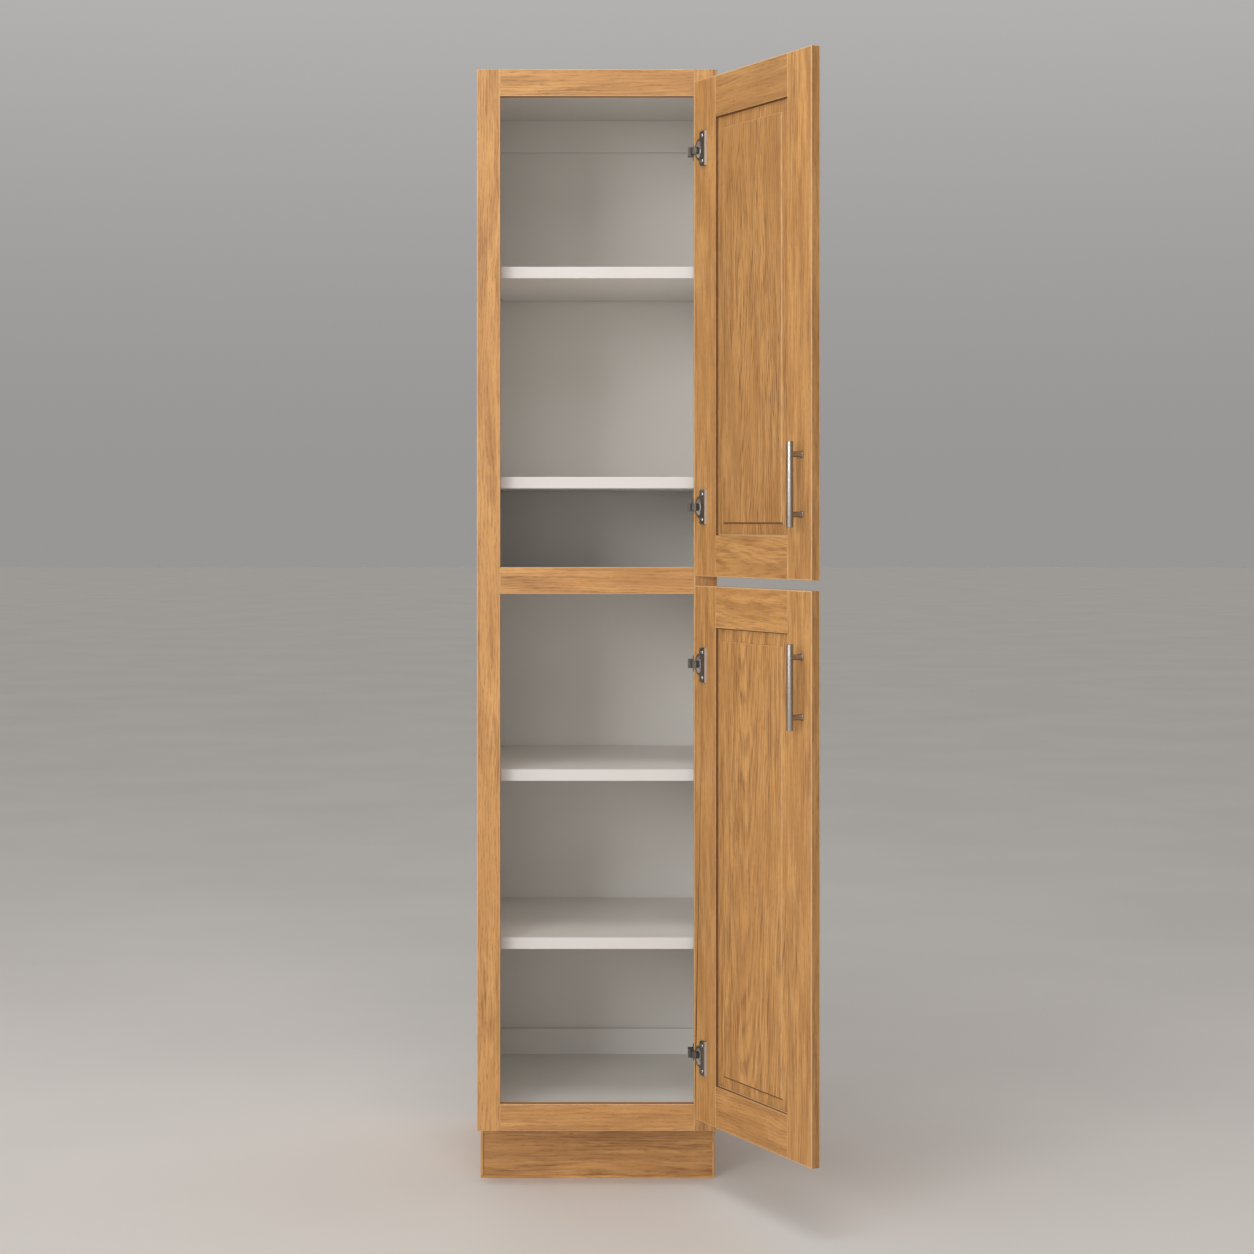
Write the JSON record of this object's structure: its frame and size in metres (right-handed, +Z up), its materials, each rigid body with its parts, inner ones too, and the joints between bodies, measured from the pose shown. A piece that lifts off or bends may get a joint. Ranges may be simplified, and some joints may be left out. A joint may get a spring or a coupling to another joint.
{
  "type": "pantry cabinet",
  "caption": "Tall narrow oak pantry cabinet with a face frame, raised-panel doors on concealed hinges, white adjustable shelves, bar pulls and a recessed toe kick.",
  "frame": {"origin": "on the floor, at the centre of the underside of the toe kick board", "axes": "+X to the viewer's right, +Y from the front to the wall, +Z up"},
  "size_m": [0.6287, 0.9004, 2.1336],
  "materials": {
    "oak": "satin clear-coated honey oak",
    "white_board": "satin white melamine-faced board",
    "pull_nickel": "brushed nickel",
    "pin_nickel": "plain nickel plate",
    "hinge_steel": "satin nickel plate"
  },
  "bodies": {
    "cabinet": {"side_panel_left": "oak", "side_panel_right": "oak", "top_panel": "white_board", "mid_deck": "white_board", "bottom_panel": "white_board", "back_panel": "white_board", "hang_rail_top": "white_board", "hang_rail_bottom": "white_board", "toe_kick": "oak", "frame_stile_left": "oak", "frame_stile_right": "oak", "frame_rail_top": "oak", "frame_rail_mid": "oak", "frame_rail_bottom": "oak", "shelf_1_pin_front_left": "pin_nickel", "shelf_1_pin_rear_left": "pin_nickel", "shelf_1_pin_front_right": "pin_nickel", "shelf_1_pin_rear_right": "pin_nickel", "shelf_2_pin_front_left": "pin_nickel", "shelf_2_pin_rear_left": "pin_nickel", "shelf_2_pin_front_right": "pin_nickel", "shelf_2_pin_rear_right": "pin_nickel", "shelf_3_pin_front_left": "pin_nickel", "shelf_3_pin_rear_left": "pin_nickel", "shelf_3_pin_front_right": "pin_nickel", "shelf_3_pin_rear_right": "pin_nickel", "shelf_4_pin_front_left": "pin_nickel", "shelf_4_pin_rear_left": "pin_nickel", "shelf_4_pin_front_right": "pin_nickel", "shelf_4_pin_rear_right": "pin_nickel", "hinge_arm_upper_top": "hinge_steel", "hinge_arm_upper_bottom": "hinge_steel", "hinge_arm_lower_top": "hinge_steel", "hinge_arm_lower_bottom": "hinge_steel", "hinge_pin_upper_top": "hinge_steel", "hinge_pin_upper_bottom": "hinge_steel", "hinge_pin_lower_top": "hinge_steel", "hinge_pin_lower_bottom": "hinge_steel"},
    "upper_door": {"upper_door_hinge_stile": "oak", "upper_door_pull_stile": "oak", "upper_door_top_rail": "oak", "upper_door_bottom_rail": "oak", "upper_door_panel": "oak", "hinge_cup_upper_top": "hinge_steel", "hinge_cup_upper_bottom": "hinge_steel", "pull_upper_inner": "pull_nickel", "pull_upper_outer": "pull_nickel"},
    "lower_door": {"lower_door_hinge_stile": "oak", "lower_door_pull_stile": "oak", "lower_door_top_rail": "oak", "lower_door_bottom_rail": "oak", "lower_door_panel": "oak", "hinge_cup_lower_top": "hinge_steel", "hinge_cup_lower_bottom": "hinge_steel", "pull_lower_inner": "pull_nickel", "pull_lower_outer": "pull_nickel"},
    "loose_shelf_1": {"shelf_1": "white_board"},
    "loose_shelf_2": {"shelf_2": "white_board"},
    "loose_shelf_3": {"shelf_3": "white_board"},
    "loose_shelf_4": {"shelf_4": "white_board"}
  },
  "joints": [
    {"name": "upper_door_swing", "type": "hinge", "parent": "cabinet", "child": "upper_door", "pos_m": [0.1962, -0.11355, 1.64], "axis": [0, 0, 1], "range_deg": [-118.5, 0]},
    {"name": "lower_door_swing", "type": "hinge", "parent": "cabinet", "child": "lower_door", "pos_m": [0.1962, -0.11355, 0.64645], "axis": [0, 0, 1], "range_deg": [-118.5, 0]},
    {"name": "shelf_1_lift", "type": "slide", "parent": "cabinet", "child": "loose_shelf_1", "axis": [0, 0, 1], "range_m": [0, 0.03]},
    {"name": "shelf_2_lift", "type": "slide", "parent": "cabinet", "child": "loose_shelf_2", "axis": [0, 0, 1], "range_m": [0, 0.03]},
    {"name": "shelf_3_lift", "type": "slide", "parent": "cabinet", "child": "loose_shelf_3", "axis": [0, 0, 1], "range_m": [0, 0.03]},
    {"name": "shelf_4_lift", "type": "slide", "parent": "cabinet", "child": "loose_shelf_4", "axis": [0, 0, 1], "range_m": [0, 0.03]}
  ]
}
